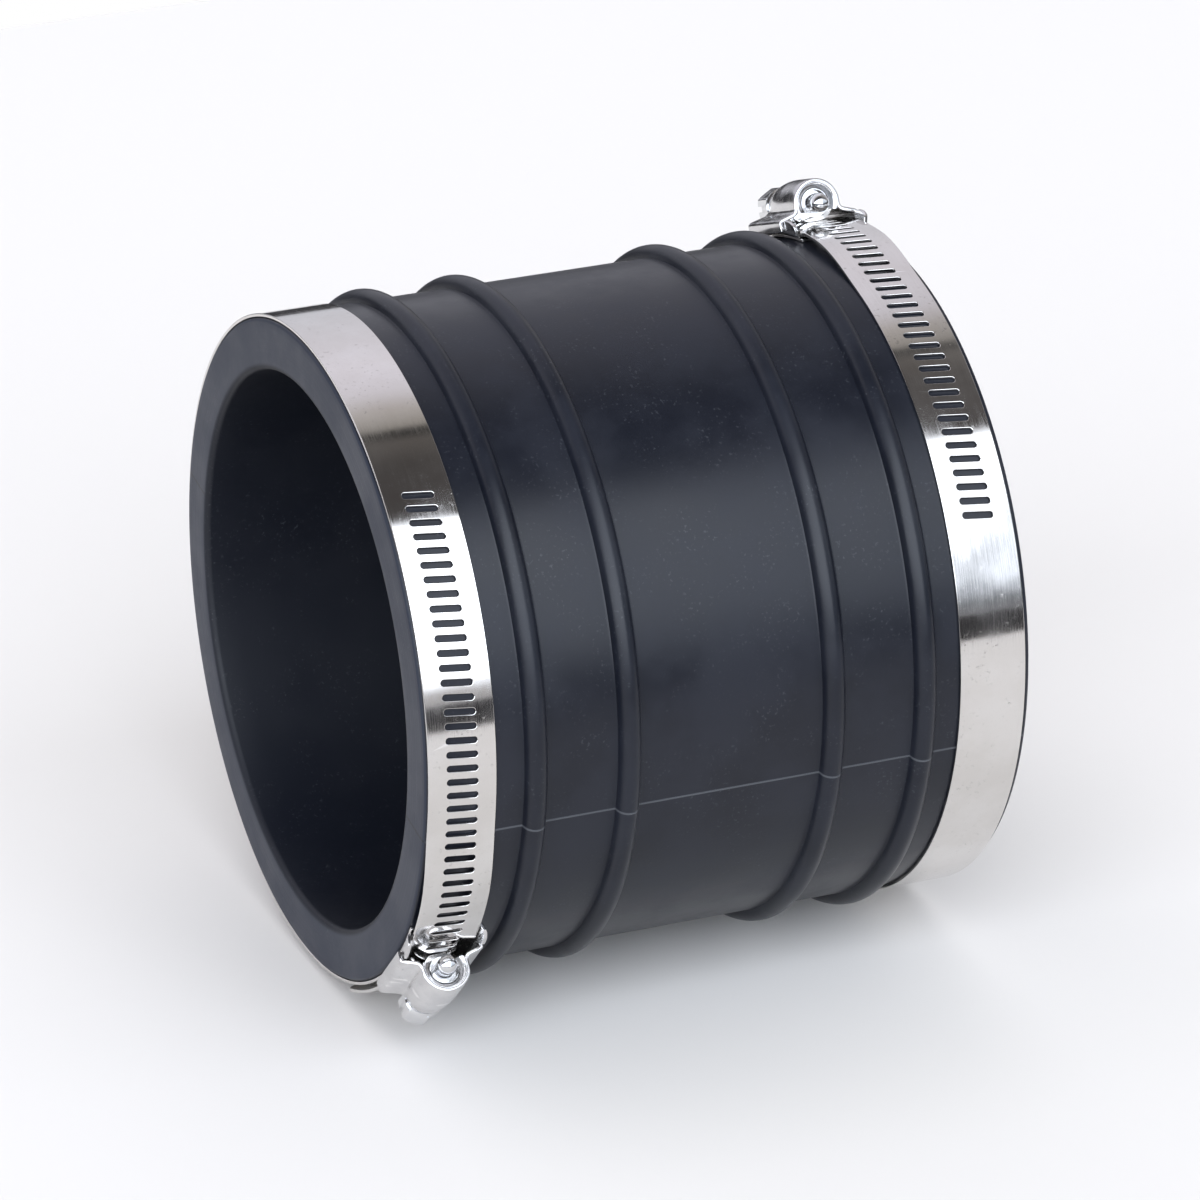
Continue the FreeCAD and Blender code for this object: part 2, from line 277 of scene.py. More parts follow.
# Fine grain, stretched along one direction by the place that is handed in, and slow waviness
grain, given, result = new_group("grain_and_wave", [
    ("Place", "NodeSocketVector", None), ("Grain Place", "NodeSocketVector", None),
    ("Grain Depth", "NodeSocketFloat", 0.01), ("Wave Scale", "NodeSocketFloat", 60.0),
    ("Wave Depth", "NodeSocketFloat", 0.05)],
    ["Height"])
fine = add(grain, "TexNoise", Vector=given["Grain Place"], Scale=1.0, Detail=3.0, Roughness=0.6).outputs[0]
slow = add(grain, "TexNoise", Vector=given["Place"], Scale=given["Wave Scale"], Detail=1.0).outputs[0]
feed(grain, result["Height"],
     reckon(grain, "ADD", reckon(grain, "MULTIPLY", fine, given["Grain Depth"]),
            reckon(grain, "MULTIPLY", slow, given["Wave Depth"])))

rubber, tree, shader = new_material("moulded_rubber")
place = add(tree, "TexCoord").outputs["Object"]
axes = add(tree, "SeparateXYZ", Vector=place).outputs
radius = reckon(tree, "SQRT", reckon(tree, "ADD", reckon(tree, "MULTIPLY", axes[1], axes[1]),
                                     reckon(tree, "MULTIPLY", axes[2], axes[2])))
end_face = ease(tree, reckon(tree, "ABSOLUTE", axes[0]), half_length - 0.5 * MM, half_length - 0.1 * MM)
inside = ease(tree, radius, bore_radius + 1.5 * MM, bore_radius + 0.5 * MM)
off_parting = reckon(tree, "ABSOLUTE", reckon(
    tree, "SUBTRACT", reckon(tree, "MULTIPLY", axes[1], math.sin(math.radians(flash_deg))),
    reckon(tree, "MULTIPLY", axes[2], math.cos(math.radians(flash_deg)))))
parting = reckon(tree, "MULTIPLY", ease(tree, off_parting, 0.30 * MM, 0.12 * MM),
                 reckon(tree, "SUBTRACT", 1.0, inside))
dusty = use_group(tree, dust, Place=place, Cloud_Scale=55.0, Dust_Scale=1700.0, Dust_Amount=0.35)
bare = tint(tree, dusty["Cloud"], (0.0050, 0.0062, 0.0108, 1), (0.0088, 0.0104, 0.0165, 1))
bare = tint(tree, end_face, bare, (0.017, 0.021, 0.034, 1))
# Inside the bore the rubber is tinted darker: painted shade in the bore.
bare = tint(tree, inside, bare, (0.0045, 0.0058, 0.0105, 1))
# Along the parting line over the tube the rubber is tinted light grey: a painted highlight on the flash
# ridge.
bare = tint(tree, reckon(tree, "MULTIPLY", parting, reckon(tree, "SUBTRACT", 1.0, end_face)), bare,
            (0.060, 0.064, 0.072, 1))
# Where the parting line crosses the end faces it is tinted nearly black: a painted shadow line beside the
# flash.
bare = tint(tree, reckon(tree, "MULTIPLY", parting, end_face), bare, (0.006, 0.007, 0.010, 1))
feed(tree, shader.inputs["Base Color"], tint(tree, dusty["Dust"], bare, (0.07, 0.075, 0.085, 1)))
gloss = reckon(tree, "ADD", 0.30, reckon(tree, "MULTIPLY", dusty["Cloud"], 0.10))
gloss = reckon(tree, "ADD", gloss, reckon(tree, "MULTIPLY", end_face, 0.14))
feed(tree, shader.inputs["Roughness"], reckon(tree, "ADD", gloss, reckon(tree, "MULTIPLY", inside, 0.15)))
shader.inputs["Specular IOR Level"].default_value = 0.33
rings = add(tree, "TexNoise", Scale=900.0, Detail=3.0,
            Vector=add(tree, "CombineXYZ", X=radius, Y=axes[0]).outputs[0]).outputs[0]
moulded = use_group(tree, grain, Place=place, Grain_Depth=0.010, Wave_Scale=45.0, Wave_Depth=0.10,
                    Grain_Place=add(tree, "VectorMath", operation="SCALE", Vector=place,
                                    Scale=2600.0).outputs[0])
relief = reckon(tree, "ADD", moulded["Height"],
                reckon(tree, "MULTIPLY", reckon(tree, "MULTIPLY", rings, end_face), 0.05))
feed(tree, shader.inputs["Normal"], add(tree, "Bump", Strength=1.0, Distance=MM, Height=relief).outputs[0])

tube = spin_tube()
add_flash(tube, flash_deg)
add_flash(tube, flash_deg - 180)
sleeve = new_piece("rubber_sleeve", tube, rubber)
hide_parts("sleeve")
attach(sleeve, "sleeve")


# ---- Clamp bands -------------------------------------------------------------------------
# Each clamp's band is a strip of bright rolled stainless steel, half an inch wide. It goes
# once round the sleeve, lifts over its own fixed end, and passes under the worm. The worm's
# slots are pierced on the slant, and the press leaves their edges slightly rounded.

band_width = 12.7 * MM
band_thickness = 0.6 * MM
band_gap = 0.1 * MM
band_low_radius = tube_radius + band_gap
band_top_radius = 62.06 * MM
thread_radius = 3.6 * MM
slot_pitch = 2.65 * MM
slot_length = 5.9 * MM
slot_width = 1.2 * MM
slot_lead = math.atan(slot_pitch / (math.tau * thread_radius))
pitch_radius = band_top_radius + band_thickness / 2
slot_turn = slot_pitch / pitch_radius
slots_before_head = {"a": 38, "b": 34}
slots_after_head = 10
edge_round = 0.13 * MM
band_start = math.radians(-372.5)
ramp_start = math.radians(-36)
ramp_end = math.radians(-19)
tail_end = math.radians(30)


def screw_place(letter):
    """The middle of a clamp's worm, and the direction from there to the screw's tip."""
    joint = next(j for j in frame["joints"] if j["name"] == f"screw_{letter}_turn")
    return Vector(joint["pos_m"]), Vector(joint["axis"])


def clamp_frame(letter):
    """Where a clamp sits: its own +Z runs out through the head, and +Y along the screw to its tip."""
    place, along = screw_place(letter)
    out = Vector((0, place.y, place.z)).normalized()
    turn = Matrix((along.cross(out), along, out)).transposed().to_4x4()
    return Matrix.Translation((place.x, 0, 0)) @ turn


def band_radius(turn):
    """The inner radius of the band at an angle from the head."""
    t = min(max((turn - ramp_start) / (ramp_end - ramp_start), 0), 1)
    return band_low_radius + (band_top_radius - band_low_radius) * t * t * (3 - 2 * t)


def flat_rows(bm, start, end, rows):
    """A plain stretch of strip, laid flat: across is X, and the angle from the head is Y."""
    grid = bmesh.ops.create_grid(bm, x_segments=4, y_segments=rows, size=0.5)
    for v in grid["verts"]:
        v.co = Vector((v.co.x * band_width, start + (end - start) * (v.co.y + 0.5), 0))
    return grid["verts"]


def slot_cell(bm, centre):
    """One pitch of the strip with its slanted, round-ended slot."""
    half_x = band_width / 2
    half_y = slot_turn / 2
    corners = []
    for i in range(5):
        corners.append(bm.verts.new((-half_x + band_width * i / 4, centre - half_y, 0)))
    for i in range(5):
        corners.append(bm.verts.new((half_x - band_width * i / 4, centre + half_y, 0)))
    edges = [bm.edges.new((a, b)) for a, b in zip(corners, corners[1:] + corners[:1])]
    hole = bmesh.ops.create_circle(bm, segments=20, radius=slot_width / 2,
                                   matrix=Matrix.Rotation(math.radians(9), 4, "Z"))["verts"]
    reach = slot_length / 2 - slot_width / 2
    lead = Matrix.Rotation(slot_lead, 4, "Z")
    for v in hole:
        v.co.x += math.copysign(reach, v.co.x)
        v.co = lead @ v.co
        v.co.y = centre + v.co.y / pitch_radius
    edges += dict.fromkeys(e for v in hole for e in v.link_edges)
    bmesh.ops.triangle_fill(bm, use_beauty=True, edges=edges)


def band_bmesh(slots_before):
    """The whole strip: cut flat, given its thickness and edges, then bent round the sleeve."""
    bm = bmesh.new()
    flat_rows(bm, band_start, -(slots_before + 0.5) * slot_turn, 200)
    for i in range(-slots_before, slots_after_head + 1):
        slot_cell(bm, i * slot_turn)
    round_start = (slots_after_head + 0.5) * slot_turn
    for v in flat_rows(bm, round_start, tail_end, 14):
        reach = (v.co.y - round_start) / (tail_end - round_start)
        v.co.x *= math.sqrt(max(1 - reach * reach, 0.04))
    for v in bm.verts:
        v.co.y *= pitch_radius
    bmesh.ops.remove_doubles(bm, verts=bm.verts[:], dist=0.01 * MM)
    bmesh.ops.recalc_face_normals(bm, faces=bm.faces[:])
    bmesh.ops.solidify(bm, geom=bm.faces[:], thickness=band_thickness)
    bmesh.ops.recalc_face_normals(bm, faces=bm.faces[:])
    sharp = [e for e in bm.edges if len(e.link_faces) == 2 and e.calc_face_angle() > math.radians(60)]
    bmesh.ops.bevel(bm, geom=sharp, offset=edge_round, segments=2, profile=0.5, affect="EDGES",
                    material=-1)
    lowest = min(v.co.z for v in bm.verts)
    uv = bm.loops.layers.uv.new("strip")
    for face in bm.faces:
        for loop in face.loops:
            loop[uv].uv = (loop.vert.co.y, loop.vert.co.x)
    for v in bm.verts:
        turn = v.co.y / pitch_radius
        radius = band_radius(turn) + v.co.z - lowest
        v.co = Vector((v.co.x, -radius * math.sin(turn), radius * math.cos(turn)))
    bmesh.ops.recalc_face_normals(bm, faces=bm.faces[:])
    return bm


def rolled_normals(bm):
    """A normal for each point: square to the rolled faces, and rounding over the cut edges."""
    bm.normal_update()
    normals = []
    step = math.radians(0.5)
    for v in bm.verts:
        turn = math.atan2(-v.co.y, v.co.z)
        climb = (band_radius(turn + step) - band_radius(turn - step)) / (2 * step * pitch_radius)
        square = Vector((0, climb * math.cos(turn) - math.sin(turn),
                         climb * math.sin(turn) + math.cos(turn))).normalized()
        leans = [f.normal.dot(square) for f in v.link_faces]
        flat = next((lean for lean in leans if abs(lean) > 0.97), None)
        if flat is None:
            wall = [f.normal for f, lean in zip(v.link_faces, leans) if abs(lean) < 0.2]
            normals.append(sum(wall or [f.normal for f in v.link_faces], Vector()).normalized())
        else:
            normals.append(math.copysign(1, flat) * square)
    return normals


# Edges brighter where a corner stands out: partly rubbed wear, partly a painted highlight along the edges
edge_wear_and_highlight, given, result = new_group("worn_and_highlit_edges", [
    ("Start", "NodeSocketFloat", 0.53), ("Full", "NodeSocketFloat", 0.60)], ["Rubbed"])
corner = add(edge_wear_and_highlight, "NewGeometry").outputs["Pointiness"]
feed(edge_wear_and_highlight, result["Rubbed"], ease(edge_wear_and_highlight, corner, given["Start"], given["Full"]))

strip_steel, tree, shader = new_material("bright_strip")
place = add(tree, "TexCoord").outputs["Object"]
strip = add(tree, "UVMap", uv_map="strip").outputs[0]
along = add(tree, "Mapping", Vector=strip, Scale=(90.0, 5200.0, 1.0)).outputs[0]
dusty = use_group(tree, dust, Place=place, Cloud_Scale=85.0, Dust_Scale=1300.0, Dust_Amount=0.5)
worn_and_highlit = use_group(tree, edge_wear_and_highlight, Start=0.53, Full=0.62)["Rubbed"]
rolled = add(tree, "TexNoise", Vector=along, Scale=1.0, Detail=4.0, Roughness=0.6).outputs[0]
steel = tint(tree, dusty["Cloud"], (0.640, 0.615, 0.590, 1), (0.690, 0.670, 0.650, 1))
steel = tint(tree, dusty["Dust"], steel, (0.42, 0.40, 0.38, 1))
# Corners of the strip are tinted brighter: partly edge wear, partly a painted highlight on the edges.
feed(tree, shader.inputs["Base Color"], tint(tree, worn_and_highlit, steel, (0.80, 0.79, 0.78, 1)))
shader.inputs["Metallic"].default_value = 1
gloss = reckon(tree, "ADD", ease(tree, rolled, 0.30, 0.75, 0.055, 0.13),
               reckon(tree, "MULTIPLY", dusty["Cloud"], 0.05))
dulled = reckon(tree, "MULTIPLY", dusty["Dust"], 0.35)
feed(tree, shader.inputs["Roughness"], reckon(tree, "ADD", gloss, dulled))
drawn = use_group(tree, grain, Place=place, Grain_Place=along, Grain_Depth=0.0009, Wave_Scale=75.0,
                  Wave_Depth=0.035)
feed(tree, shader.inputs["Normal"],
     add(tree, "Bump", Strength=1.0, Distance=MM, Height=drawn["Height"]).outputs[0])

for letter in "ab":
    bm = band_bmesh(slots_before_head[letter])
    turned = clamp_frame(letter).to_3x3()
    normals = [turned @ normal for normal in rolled_normals(bm)]
    bmesh.ops.transform(bm, matrix=clamp_frame(letter), verts=bm.verts[:])
    band = new_piece(f"clamp_band_{letter}", bm, strip_steel, normals)
    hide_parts(f"band_{letter}")
    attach(band, f"band_{letter}")


# ---- Saddles -----------------------------------------------------------------------------
# The plate that the worm presses the band against, curved to the sleeve. It is blanked and
# bent from stainless sheet, with a flange up each side that rises into an ear past the hood.

saddle_radius = 61.28 * MM
saddle_thickness = 0.7 * MM
saddle_half_width = 7.2 * MM
saddle_to_tip = 12.5 * MM
saddle_to_head = 9.0 * MM
flange_top = 62.86 * MM
ear_top = 64.16 * MM
ear_start = 7.85 * MM
ear_slope = 0.9 * MM
ear_splay = 0.5 * MM
saddle_bend = 0.8 * MM
saddle_edge = 0.14 * MM
saddle_rows = 52


def filleted(points, radius, steps=5):
    """An open line of 2-D points with an arc at each inner corner."""
    points = [Vector(p) for p in points]
    out = [points[0]]
    for before, corner, after in zip(points, points[1:], points[2:]):
        back = (before - corner).normalized()
        ahead = (after - corner).normalized()
        half = back.angle(ahead) / 2
        centre = corner + (back + ahead).normalized() * radius / math.sin(half)
        start = corner + back * radius / math.tan(half) - centre
        end = corner + ahead * radius / math.tan(half) - centre
        out += [centre + start.slerp(end, i / steps) * radius for i in range(steps + 1)]
    return out + [points[-1]]


def sheet_line(bm, points):
    """An open line of edges across a clamp, from (place across, radius) points."""
    verts = [bm.verts.new((x, 0, z)) for x, z in points]
    for a, b in zip(verts, verts[1:]):
        bm.edges.new((a, b))
    return bm.verts[:] + bm.edges[:]


def thicken(bm, thickness, edge_bevel):
    """Gives a sheet its thickness inwards, and rounds its cut edges."""
    bmesh.ops.solidify(bm, geom=bm.faces[:], thickness=thickness)
    bmesh.ops.recalc_face_normals(bm, faces=bm.faces[:])
    sharp = [e for e in bm.edges if len(e.link_faces) == 2 and e.calc_face_angle() > math.radians(50)]
    bmesh.ops.bevel(bm, geom=sharp, offset=edge_bevel, segments=3, profile=0.5, affect="EDGES",
                    material=-1)


def ear_rise(s):
    """How far the flange's top edge is lifted towards an ear, from 0 to 1, along the screw."""
    up = min(max((s - ear_start) / ear_slope, 0), 1)
    down = min(max((saddle_to_tip - s) / (2 * ear_slope), 0), 1)
    return up * up * (3 - 2 * up) * (0.35 + 0.65 * math.sqrt(down))


def saddle_bmesh():
    """The bent section carried round the sleeve, with its top edges drawn up into the ears."""
    bm = bmesh.new()
    side = saddle_half_width
    outline = filleted([(-side, flange_top), (-side, saddle_radius), (side, saddle_radius),
                        (side, flange_top)], saddle_bend)
    geom = sheet_line(bm, outline)
    bmesh.ops.rotate(bm, verts=bm.verts[:], cent=(0, 0, 0),
                     matrix=Matrix.Rotation(saddle_to_head / saddle_radius, 3, "X"))
    bmesh.ops.spin(bm, geom=geom, cent=(0, 0, 0), axis=(-1, 0, 0),
                   angle=(saddle_to_head + saddle_to_tip) / saddle_radius, steps=saddle_rows)
    bmesh.ops.recalc_face_normals(bm, faces=bm.faces[:])
    middle = min(bm.faces, key=lambda f: abs(f.calc_center_median().x) + abs(f.calc_center_median().y))
    if middle.normal.z > 0:
        bmesh.ops.reverse_faces(bm, faces=bm.faces[:])
    for v in bm.verts:
        radius = math.hypot(v.co.y, v.co.z)
        if radius > flange_top - 0.1 * MM:
            share = ear_rise(math.atan2(v.co.y, v.co.z) * saddle_radius)
            lift = (ear_top - flange_top) * share
            v.co.y *= 1 + lift / radius
            v.co.z *= 1 + lift / radius
            v.co.x += math.copysign(ear_splay * share, v.co.x)
    thicken(bm, saddle_thickness, saddle_edge)
    return bm


pressed_steel, tree, shader = new_material("pressed_steel")
place = add(tree, "TexCoord").outputs["Object"]
dusty = use_group(tree, dust, Place=place, Cloud_Scale=260.0, Dust_Scale=2400.0, Dust_Amount=0.5)
worn_and_highlit = use_group(tree, edge_wear_and_highlight, Start=0.54, Full=0.66)["Rubbed"]
steel = tint(tree, dusty["Cloud"], (0.600, 0.590, 0.590, 1), (0.680, 0.670, 0.665, 1))
steel = tint(tree, dusty["Dust"], steel, (0.38, 0.36, 0.35, 1))
# Corners of the pressed parts are tinted brighter: partly edge wear, partly a painted highlight on the
# edges.
feed(tree, shader.inputs["Base Color"], tint(tree, worn_and_highlit, steel, (0.82, 0.81, 0.80, 1)))
shader.inputs["Metallic"].default_value = 1
gloss = reckon(tree, "ADD", 0.14, reckon(tree, "MULTIPLY", dusty["Cloud"], 0.10))
feed(tree, shader.inputs["Roughness"],
     reckon(tree, "ADD", gloss, reckon(tree, "MULTIPLY", dusty["Dust"], 0.3)))
formed = use_group(tree, grain, Place=place, Grain_Depth=0.0025, Wave_Scale=280.0, Wave_Depth=0.045,
                   Grain_Place=add(tree, "VectorMath", operation="SCALE", Vector=place,
                                   Scale=3200.0).outputs[0])
feed(tree, shader.inputs["Normal"],
     add(tree, "Bump", Strength=1.0, Distance=MM, Height=formed["Height"]).outputs[0])

for letter in "ab":
    bm = saddle_bmesh()
    bmesh.ops.transform(bm, matrix=clamp_frame(letter), verts=bm.verts[:])
    saddle = new_piece(f"saddle_plate_{letter}", bm, pressed_steel)
    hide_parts(f"saddle_{letter}")
    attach(saddle, f"head_{letter}")


# ---- Housings ----------------------------------------------------------------------------
# The hood over each worm is drawn from one piece of stainless sheet: an arch with sloping
# wings and two feet outside the saddle. Its tip end is turned in to a bell mouth round the
# screw's ball tip, and its other end is drawn down to a neck in front of the screw's head.

worm_height = math.hypot(screw_place("a")[0].y, screw_place("a")[0].z)
hood_thickness = 0.75 * MM
hood_gap = 0.25 * MM
hood_radius = thread_radius + hood_gap + hood_thickness
hood_tip = 7.55 * MM
hood_neck = -7.86 * MM
hood_foot = saddle_half_width + hood_thickness
foot_low = 61.36 * MM
shoulder = flange_top + hood_thickness
spring_drop = 1.2 * MM
hood_bend = 0.9 * MM
hood_edge = 0.24 * MM
slope_start = 0.5 * MM
slope_depth = 0.74
mouth_start = 5.5 * MM
mouth_draw = 0.02
hood_rows = 56
neck_bottom = 62.95 * MM
mouth_bottom = worm_height - 1.5 * MM


def hood_section():
    """The sheet's outer line across the screw, from one foot over the crown to the other."""
    spring = worm_height - spring_drop
    half = filleted([(hood_foot, foot_low), (hood_foot, shoulder), (hood_radius, spring),
                     (hood_radius, worm_height)], hood_bend)
    turns = [math.pi * i / 28 for i in range(1, 28)]
    arch = [(hood_radius * math.cos(turn), worm_height + hood_radius * math.sin(turn)) for turn in turns]
    return half + arch + [(-x, z) for x, z in reversed(half)]


def hood_draw(y):
    """How much narrower the arch is at this place along the screw."""
    slope = min(max((slope_start - y) / (slope_start - hood_neck), 0), 1)
    mouth = min(max((y - mouth_start) / (hood_tip - mouth_start), 0), 1)
    return math.sqrt(1 - (slope_depth * slope) ** 2) - mouth_draw * mouth * mouth


def add_turned(bm, profile, closed, steps=48):
    """A shape turned round the screw's axis from (radius, place along it) points."""
    verts = [bm.verts.new((0, y, worm_height + r)) for r, y in profile]
    pairs = list(zip(verts, verts[1:]))
    if closed:
        pairs.append((verts[-1], verts[0]))
    edges = [bm.edges.new(pair) for pair in pairs]
    bmesh.ops.spin(bm, geom=verts + edges, cent=(0, 0, worm_height), axis=(0, 1, 0),
                   angle=math.tau, steps=steps, use_merge=True)


def join(bm, part):
    """Adds another mesh to this one, and frees it."""
    spare = bpy.data.meshes.new("spare")
    part.to_mesh(spare)
    part.free()
    bm.from_mesh(spare)
    bpy.data.meshes.remove(spare)


def end_wall_bmesh(profile, bottom):
    """A ring across one end of the hood, cut off level above the band."""
    bm = bmesh.new()
    add_turned(bm, [(r * MM, y * MM) for r, y in profile], closed=True)
    bmesh.ops.remove_doubles(bm, verts=bm.verts[:], dist=0.001 * MM)
    cut = bmesh.ops.bisect_plane(bm, geom=bm.verts[:] + bm.edges[:] + bm.faces[:], dist=0.0001 * MM,
                                 plane_co=(0, 0, bottom), plane_no=(0, 0, -1), clear_outer=True)
    rim = [e for e in cut["geom_cut"] if isinstance(e, bmesh.types.BMEdge)]
    bmesh.ops.holes_fill(bm, edges=rim, sides=0)
    bmesh.ops.recalc_face_normals(bm, faces=bm.faces[:])
    return bm


def hood_bmesh():
    """The hood's sheet, drawn in at its two ends, with its end walls."""
    bm = bmesh.new()
    geom = sheet_line(bm, hood_section())
    bmesh.ops.translate(bm, vec=(0, hood_neck, 0), verts=bm.verts[:])
    bmesh.ops.spin(bm, geom=geom, cent=(0, 0, 0), axis=(0, 1, 0), angle=0,
                   dvec=(0, (hood_tip - hood_neck) / hood_rows, 0), steps=hood_rows)
    bmesh.ops.recalc_face_normals(bm, faces=bm.faces[:])
    crown = max(bm.faces, key=lambda f: f.calc_center_median().z)
    if crown.normal.z < 0:
        bmesh.ops.reverse_faces(bm, faces=bm.faces[:])
    for v in bm.verts:
        share = min(max((v.co.z - shoulder) / (worm_height - shoulder), 0), 1)
        draw = 1 + (hood_draw(v.co.y) - 1) * share
        v.co.x *= draw
        rise = v.co.z - worm_height
        v.co.z = worm_height + (rise * draw if rise > 0 else rise)
    thicken(bm, hood_thickness, hood_edge)
    mouth = end_wall_bmesh([(4.10, 6.66), (4.22, 7.20), (4.16, 7.42), (3.98, 7.53), (3.76, 7.52),
                            (3.50, 7.40), (3.22, 7.20), (2.98, 6.98), (2.80, 6.80), (2.72, 6.66)],
                           mouth_bottom)
    neck = end_wall_bmesh([(2.95, -6.66), (2.32, -6.66), (2.28, -7.20), (2.32, -7.66), (2.50, -7.76),
                           (2.72, -7.60), (2.90, -7.20)], neck_bottom)
    join(bm, mouth)
    join(bm, neck)
    return bm


for letter in "ab":
    bm = hood_bmesh()
    bmesh.ops.transform(bm, matrix=clamp_frame(letter), verts=bm.verts[:])
    hood = new_piece(f"worm_housing_{letter}", bm, pressed_steel)
    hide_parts(f"housing_{letter}")
    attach(hood, f"head_{letter}")


# ---- Screws ------------------------------------------------------------------------------
# Each screw is cold-formed from bright steel, with a rolled worm thread. It ends in a round
# tip at one end, and in a collared hexagon head with a driver slot at the other.

worm_half = 6.5 * MM
shoulder_y = 5.4 * MM
root_radius = 2.75 * MM
crest_half = 0.25 * MM
base_half = 0.575 * MM
tip_radius = 1.8 * MM
tip_end = 8.55 * MM
neck_radius = 2.2 * MM
collar_start = -8.01 * MM
collar_radius = 3.51 * MM
hex_start = -8.91 * MM
hex_end = -13.51 * MM
hex_half_flats = 3.15 * MM
chamfer_in = 0.1 * MM
corner_round = 0.15 * MM
driver_width = 1.1 * MM
driver_depth = 1.9 * MM
thread_turns = 7
thread_room = 0.15 * MM
thread_sink = 0.2 * MM
thread_steps = 36


def shank_profile():
    """The turned body of the screw from its tip to the back of its collar."""
    turns = [math.pi / 2 * i / 8 for i in range(9)]
    dome = [(tip_radius * math.sin(turn), tip_end + tip_radius * math.cos(turn)) for turn in turns]
    soft = 0.15 * MM
    return dome + [
        (tip_radius, shoulder_y), (root_radius - soft, shoulder_y), (root_radius, shoulder_y - soft),
        (root_radius, soft - worm_half), (root_radius - soft, -worm_half), (neck_radius, -worm_half),
        (neck_radius, collar_start), (collar_radius - 2 * soft, collar_start),
        (collar_radius, collar_start - 2 * soft), (collar_radius, hex_start + soft),
        (collar_radius - soft, hex_start), (0, hex_start)]


def add_thread(bm):
    """The right-handed thread: cut square at the worm's ends, and lower where the hood slopes."""
    thread = bmesh.new()
    low = root_radius - thread_sink
    profile = [(low, -base_half), (thread_radius, -crest_half),
               (thread_radius, crest_half), (low, base_half)]
    verts = [thread.verts.new((0, y, worm_height - r)) for r, y in profile]
    edges = [thread.edges.new(pair) for pair in zip(verts, verts[1:] + verts[:1])]
    back = -thread_turns / 2
    bmesh.ops.rotate(thread, verts=verts, cent=(0, 0, worm_height),
                     matrix=Matrix.Rotation(math.tau * back, 3, "Y"))
    bmesh.ops.translate(thread, verts=verts, vec=(0, slot_pitch * back, 0))
    bmesh.ops.spin(thread, geom=verts + edges, cent=(0, 0, worm_height), axis=(0, 1, 0),
                   angle=math.tau * thread_turns, dvec=(0, slot_pitch / thread_steps, 0),
                   steps=thread_turns * thread_steps)
    for way in (-1, 1):
        cut = bmesh.ops.bisect_plane(thread, geom=thread.verts[:] + thread.edges[:] + thread.faces[:],
                                     dist=0.0001 * MM, plane_co=(0, way * worm_half, 0),
                                     plane_no=(0, way, 0), clear_outer=True)
        rim = [e for e in cut["geom_cut"] if isinstance(e, bmesh.types.BMEdge)]
        bmesh.ops.holes_fill(thread, edges=rim, sides=0)
    for v in thread.verts:
        reach = math.hypot(v.co.x, v.co.z - worm_height)
        room = hood_radius * hood_draw(v.co.y) - hood_thickness - thread_room
        share = min(1, max(room, root_radius) / reach) if reach > root_radius else 1
        v.co.x *= share
        v.co.z = worm_height + (v.co.z - worm_height) * share
    bmesh.ops.recalc_face_normals(thread, faces=thread.faces[:])
    join(bm, thread)


def hex_radius(turn):
    """How far the hexagon's side is from the screw's axis, at an angle from its top corner."""
    return hex_half_flats / math.cos(turn % (math.pi / 3) - math.pi / 6)


def angle_of(v):
    """A point's angle round the screw's axis."""
    return math.atan2(v.co.x, v.co.z - worm_height)


def on_head(turn, radius, y):
    """A point of the head from its angle, its radius and its place along the screw."""
    return Vector((radius * math.sin(turn), y, worm_height + radius * math.cos(turn)))


def hex_head_mesh():
    """The hexagon with its chamfered end and its driver slot."""
    bm = bmesh.new()
    stand = Matrix.Translation((0, hex_start, worm_height)) @ Matrix.Rotation(math.pi / 2, 4, "X")
    bmesh.ops.create_circle(bm, cap_ends=True, segments=48, radius=hex_half_flats, matrix=stand)
    for v in bm.verts:
        v.co = on_head(angle_of(v), hex_radius(angle_of(v)), hex_start + 0.02 * MM)
    made = bmesh.ops.extrude_face_region(bm, geom=bm.faces[:])["geom"]
    cap = [g for g in made if isinstance(g, bmesh.types.BMFace)]
    for v in (g for g in made if isinstance(g, bmesh.types.BMVert)):
        v.co.y = hex_end + hex_radius(angle_of(v)) - hex_half_flats + chamfer_in
    made = bmesh.ops.extrude_face_region(bm, geom=cap)["geom"]
    bmesh.ops.delete(bm, geom=cap, context="FACES_ONLY")
    for v in (g for g in made if isinstance(g, bmesh.types.BMVert)):
        v.co = on_head(angle_of(v), hex_half_flats - chamfer_in, hex_end)
    bmesh.ops.remove_doubles(bm, verts=bm.verts[:], dist=0.001 * MM)
    bmesh.ops.recalc_face_normals(bm, faces=bm.faces[:])
    corners = [e for e in bm.edges if len(e.link_faces) == 2 and e.calc_face_angle() > math.radians(40)
               and abs(e.verts[0].co.y - e.verts[1].co.y) > 1 * MM]
    bmesh.ops.bevel(bm, geom=corners, offset=corner_round, segments=2, profile=0.5, affect="EDGES",
                    material=-1)
    head = bpy.data.objects.new("head", bpy.data.meshes.new("head"))
    bm.to_mesh(head.data)
    bm.free()
    cutter = bmesh.new()
    bmesh.ops.create_cube(cutter, size=1)
    for v in cutter.verts:
        v.co = Vector((v.co.x * 20 * MM, hex_end + 2 * v.co.y * driver_depth,
                       worm_height + v.co.z * driver_width))
    slot = bpy.data.objects.new("slot", bpy.data.meshes.new("slot"))
    cutter.to_mesh(slot.data)
    cutter.free()
    bpy.context.scene.collection.objects.link(head)
    bpy.context.scene.collection.objects.link(slot)
    carve = head.modifiers.new("driver_slot", "BOOLEAN")
    carve.operation = "DIFFERENCE"
    carve.object = slot
    carve.solver = "EXACT"
    mesh = bpy.data.meshes.new_from_object(head.evaluated_get(bpy.context.evaluated_depsgraph_get()))
    bpy.data.objects.remove(head)
    bpy.data.objects.remove(slot)
    return mesh


